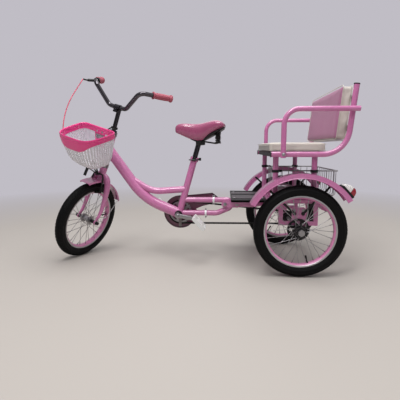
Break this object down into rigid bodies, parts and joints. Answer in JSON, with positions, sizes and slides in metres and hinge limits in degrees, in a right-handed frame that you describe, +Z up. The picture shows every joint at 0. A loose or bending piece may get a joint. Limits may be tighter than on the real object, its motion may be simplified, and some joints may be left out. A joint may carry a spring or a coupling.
{
  "type": "pedal passenger tricycle",
  "caption": "Step-through pedal tricycle with a padded rear passenger bench, armrests, front basket, wire cargo basket, chain drive and a steered front wheel.",
  "frame": {"origin": "on the ground under the middle of the rear axle", "axes": "+X forward, +Y to the rider's left, +Z up; stored with the steering turned left as in the picture"},
  "size_m": [1.3861, 0.7076, 0.9573],
  "materials": {
    "frame_paint": "gloss paint",
    "tyre_rubber": "matte rubber",
    "wheel_steel": "bright rim and spokes",
    "bright_steel": "zinc plated",
    "black_steel": "black paint",
    "chrome": "polished",
    "white_plastic": "moulded",
    "black_plastic": "moulded",
    "saddle_skin": "glossy vinyl",
    "grip_rubber": "soft grip",
    "cable_cover": "cable cover",
    "basket_pink": "moulded",
    "cushion_skin": "cream vinyl",
    "backrest_skin": "pink vinyl",
    "board_wood": "painted board",
    "footboard_plastic": "ribbed",
    "lamp_red": "lens"
  },
  "bodies": {
    "frame": {"armrests": "frame_paint", "backrest": "backrest_skin", "bench_board": "board_wood", "bench_crossbars": "black_steel", "bench_cushion": "cushion_skin", "bench_posts": "frame_paint", "bench_sides": "frame_paint", "bottom_bracket": "frame_paint", "cargo_basket": "bright_steel", "cargo_clamps": "black_steel", "chain": "black_steel", "chain_guard": "frame_paint", "coupling": "frame_paint", "down_tube": "frame_paint", "end_caps": "black_plastic", "fender_stays": "black_steel", "footboard": "footboard_plastic", "guard_mounts": "bright_steel", "head_tube": "frame_paint", "headset": "chrome", "rear_fenders": "frame_paint", "rear_frame": "frame_paint", "rear_loop": "frame_paint", "saddle": "saddle_skin", "saddle_frame": "black_steel", "seat_clamp": "frame_paint", "seat_post": "chrome", "seat_tube": "frame_paint", "tail_lamps": "lamp_red", "top_tube": "frame_paint"},
    "steering": {"fork": "frame_paint", "front_axle": "black_steel", "stem": "chrome", "handlebar": "chrome", "grips": "grip_rubber", "brake_lever": "black_plastic", "brake_caliper": "black_steel", "brake_cable": "cable_cover", "front_fender": "frame_paint", "basket": "white_plastic", "basket_rim": "basket_pink", "basket_bracket": "black_steel"},
    "front_wheel": {"front_tyre": "tyre_rubber", "front_wheel": "wheel_steel"},
    "drive_axle": {"rear_axle": "bright_steel", "tyre_left": "tyre_rubber", "wheel_left": "wheel_steel", "hub_disc": "black_steel"},
    "right_wheel": {"tyre_right": "tyre_rubber", "wheel_right": "wheel_steel"},
    "freewheel": {"sprocket": "black_steel"},
    "crank": {"crankset": "bright_steel"},
    "pedal_left": {"pedal_left": "white_plastic"},
    "pedal_right": {"pedal_right": "white_plastic"}
  },
  "joints": [
    {"name": "steer", "type": "hinge", "parent": "frame", "child": "steering", "pos_m": [0.97, 0, 0.45], "axis": [-0.294, 0, 0.9558], "range_deg": [-135, 5]},
    {"name": "front_wheel_spin", "type": "hinge", "parent": "steering", "child": "front_wheel", "pos_m": [1.05737, 0.02313, 0.19825], "axis": [-0.8843, 0.3795, -0.272], "continuous": true},
    {"name": "drive_axle_spin", "type": "hinge", "parent": "frame", "child": "drive_axle", "pos_m": [0, 0, 0.205], "axis": [0, 1, 0], "continuous": true},
    {"name": "right_wheel_spin", "type": "hinge", "parent": "frame", "child": "right_wheel", "pos_m": [0, -0.289, 0.205], "axis": [0, 1, 0], "continuous": true},
    {"name": "crank_spin", "type": "hinge", "parent": "frame", "child": "crank", "pos_m": [0.569, 0, 0.23], "axis": [0, 1, 0], "continuous": true},
    {"name": "freewheel_spin", "type": "hinge", "parent": "frame", "child": "freewheel", "pos_m": [0, -0.045, 0.205], "axis": [0, 1, 0], "continuous": true},
    {"name": "pedal_left_spin", "type": "hinge", "parent": "crank", "child": "pedal_left", "pos_m": [0.45651, 0.124, 0.20609], "axis": [0, 1, 0], "continuous": true},
    {"name": "pedal_right_spin", "type": "hinge", "parent": "crank", "child": "pedal_right", "pos_m": [0.68149, -0.124, 0.25391], "axis": [0, 1, 0], "continuous": true}
  ],
  "couplings": [
    {"joint": "freewheel_spin", "follows": "crank_spin", "ratio": 1.875}
  ]
}
